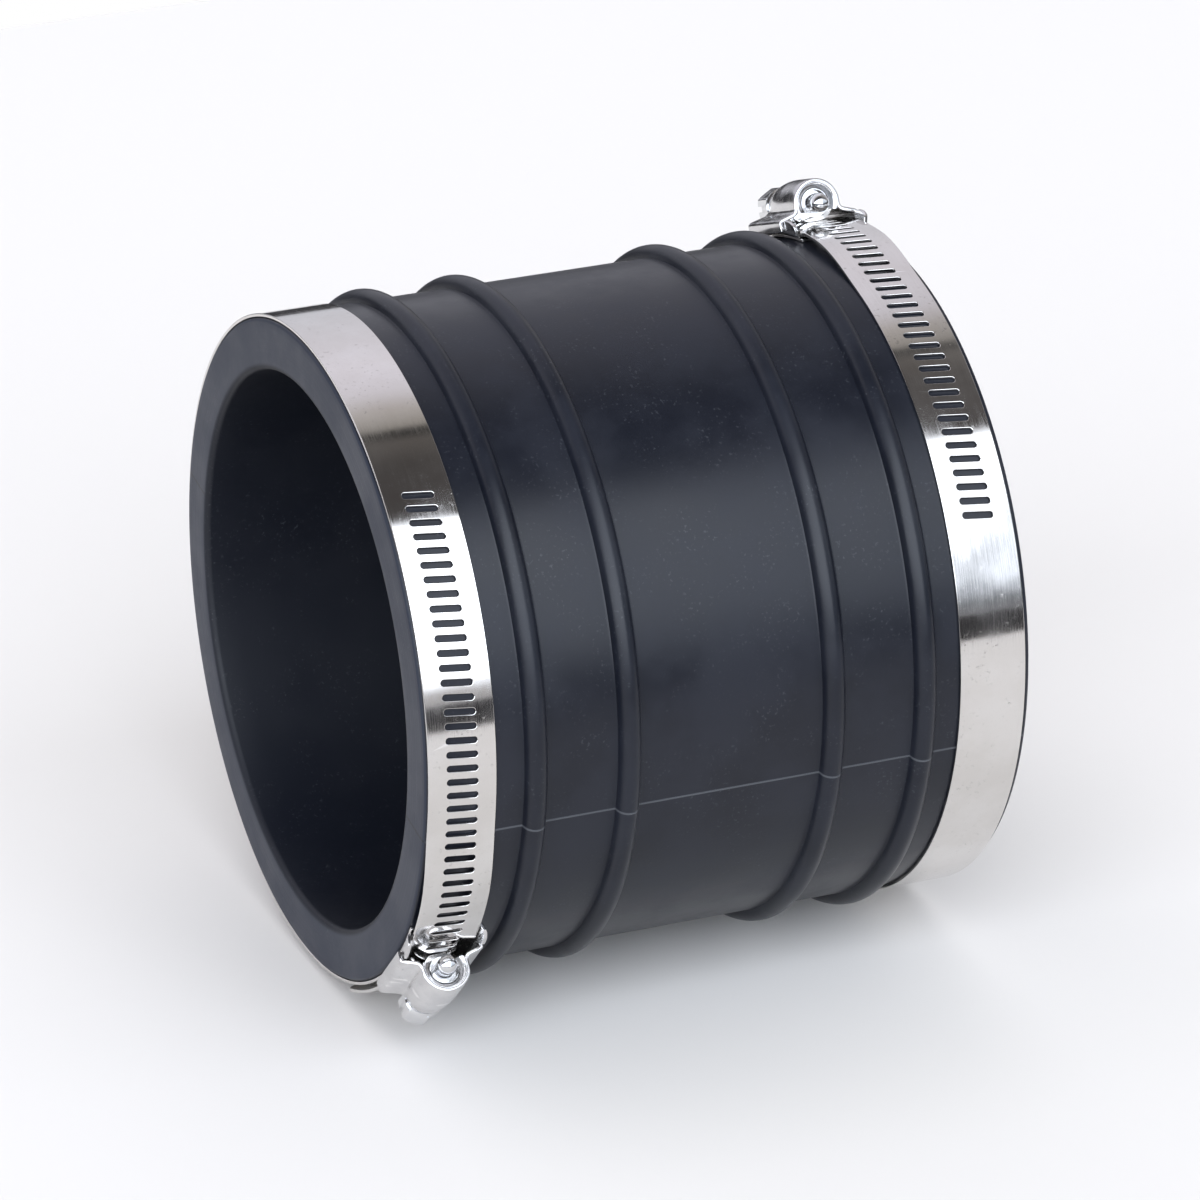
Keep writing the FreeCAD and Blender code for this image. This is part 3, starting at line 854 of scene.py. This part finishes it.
def screw_bmesh():
    """The whole screw: its turned body, its thread and its head."""
    bm = bmesh.new()
    add_turned(bm, shank_profile(), closed=False)
    bmesh.ops.remove_doubles(bm, verts=bm.verts[:], dist=0.001 * MM)
    bmesh.ops.recalc_face_normals(bm, faces=bm.faces[:])
    add_thread(bm)
    bm.from_mesh(hex_head_mesh())
    return bm


screw_steel, tree, shader = new_material("bright_screw")
place = add(tree, "TexCoord").outputs["Object"]
dusty = use_group(tree, dust, Place=place, Cloud_Scale=420.0, Dust_Scale=3000.0, Dust_Amount=0.4)
worn_and_highlit = use_group(tree, edge_wear_and_highlight, Start=0.53, Full=0.62)["Rubbed"]
steel = tint(tree, dusty["Cloud"], (0.58, 0.58, 0.59, 1), (0.68, 0.68, 0.68, 1))
steel = tint(tree, dusty["Dust"], steel, (0.35, 0.34, 0.33, 1))
# Corners of the screw are tinted brighter: partly edge wear, partly a painted highlight on the edges.
feed(tree, shader.inputs["Base Color"], tint(tree, worn_and_highlit, steel, (0.85, 0.85, 0.85, 1)))
shader.inputs["Metallic"].default_value = 1
feed(tree, shader.inputs["Roughness"], reckon(
    tree, "ADD", reckon(tree, "ADD", 0.10, reckon(tree, "MULTIPLY", dusty["Cloud"], 0.10)),
    reckon(tree, "MULTIPLY", dusty["Dust"], 0.3)))
forged = use_group(tree, grain, Place=place, Grain_Depth=0.003, Wave_Scale=500.0, Wave_Depth=0.02,
                   Grain_Place=add(tree, "VectorMath", operation="SCALE", Vector=place,
                                   Scale=3500.0).outputs[0])
feed(tree, shader.inputs["Normal"],
     add(tree, "Bump", Strength=1.0, Distance=MM, Height=forged["Height"]).outputs[0])

for letter in "ab":
    bm = screw_bmesh()
    bmesh.ops.transform(bm, matrix=clamp_frame(letter), verts=bm.verts[:])
    screw = new_piece(f"worm_screw_{letter}", bm, screw_steel)
    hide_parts(f"screw_{letter}")
    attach(screw, f"screw_{letter}")


# ---- Floor, light and camera -------------------------------------------------------------
# The coupling lies on a white board, under a broad overhead light, in a plain white studio
# whose long soft panels run along the sleeve: one in front, a gap over it, and one behind.

floor_level = cad_box[0].z - 0.2 * MM
floor_half = 0.5
bm = bmesh.new()
bmesh.ops.create_grid(bm, x_segments=1, y_segments=1, size=floor_half)
bmesh.ops.translate(bm, vec=(0, 0, floor_level), verts=bm.verts[:])
board, tree, shader = new_material("white_board")
shader.inputs["Base Color"].default_value = (0.71, 0.685, 0.655, 1)
shader.inputs["Roughness"].default_value = 0.9
floor = new_piece("floor", bm, board)

studio = bpy.data.worlds.new("studio")
bpy.context.scene.world = studio
studio.use_nodes = True
tree = studio.node_tree
axes = add(tree, "SeparateXYZ", Vector=add(tree, "TexCoord").outputs["Generated"]).outputs
share = reckon(tree, "DIVIDE", reckon(tree, "ARCTAN2", axes[2], axes[1]), math.pi)


def fill_ramp(ramp, stops):
    """Sets a colour ramp's stops from (degrees, colour) pairs."""
    elements = ramp.color_ramp.elements
    while len(elements) < len(stops):
        elements.new(0.5)
    for element, (degrees, colour) in zip(elements, stops):
        element.position = degrees / 180
        element.color = (*colour, 1)


panels = add(tree, "ValToRGB", Fac=share)
# Angles round the sleeve's axis from level behind, over the top, to level in front
stops = [(0, (0.72, 0.73, 0.80)), (50, (0.98, 0.96, 1.07)), (64, (0.90, 0.88, 0.98)),
         (74, (0.58, 0.55, 0.54)), (81.5, (0.40, 0.38, 0.36)), (83, (0.04, 0.04, 0.04)),
         (85, (0.04, 0.04, 0.04)), (87, (0.14, 0.13, 0.125)), (96, (0.085, 0.08, 0.08)),
         (117, (0.07, 0.065, 0.065)), (120.5, (3.70, 3.95, 4.35)), (168, (3.90, 4.20, 4.70)),
         (176, (0.60, 0.60, 0.62))]
fill_ramp(panels, stops)
below = ease(tree, axes[2], 0.0, -0.01)
shaded = add(tree, "ValToRGB", Fac=share)
# The front panel ends towards the far end of the sleeve, and a dim blue wall shows beside it
sides = [(0, (0.60, 0.58, 0.60)), (74, (0.34, 0.33, 0.33)), (117, (0.16, 0.155, 0.16)),
         (121, (0.95, 0.97, 1.05)), (150, (0.40, 0.47, 0.56)), (172, (0.13, 0.17, 0.22)),
         (180, (0.10, 0.12, 0.15))]
fill_ramp(shaded, sides)
skew = reckon(tree, "MULTIPLY", ease(tree, share, 0.66, 0.92), 0.030)
beyond = ease(tree, reckon(tree, "ADD", axes[0], skew), 0.385, 0.425, to_high=0.85)
lit = tint(tree, beyond, panels.outputs[0], shaded.outputs[0])
sky = tint(tree, below, lit, (0.05, 0.05, 0.055, 1))
seen = tint(tree, add(tree, "LightPath").outputs["Is Camera Ray"], sky, (1.0, 1.0, 1.0, 1))
feed(tree, tree.nodes["Background"].inputs["Color"], seen)

overhead = bpy.data.lights.new("overhead", "AREA")
overhead.size = 1.6
overhead.energy = 9
lamp = bpy.data.objects.new("overhead", overhead)
lamp.location = (0, 0, 1.5)
lamp.visible_glossy = False
bpy.context.scene.collection.objects.link(lamp)

camera_data = bpy.data.cameras.new("camera")
camera_data.lens = 235
camera_data.clip_start = 0.05
camera = bpy.data.objects.new("camera", camera_data)
azimuth = math.radians(-22.6)
elevation = math.radians(24)
distance = 1.43
back = Vector((math.sin(azimuth) * math.cos(elevation), -math.cos(azimuth) * math.cos(elevation),
               math.sin(elevation)))
camera.location = back * distance
camera.rotation_euler = (-back).to_track_quat("-Z", "Y").to_euler()
bpy.context.scene.collection.objects.link(camera)
bpy.context.scene.camera = camera
bpy.context.scene.view_settings.view_transform = "Standard"
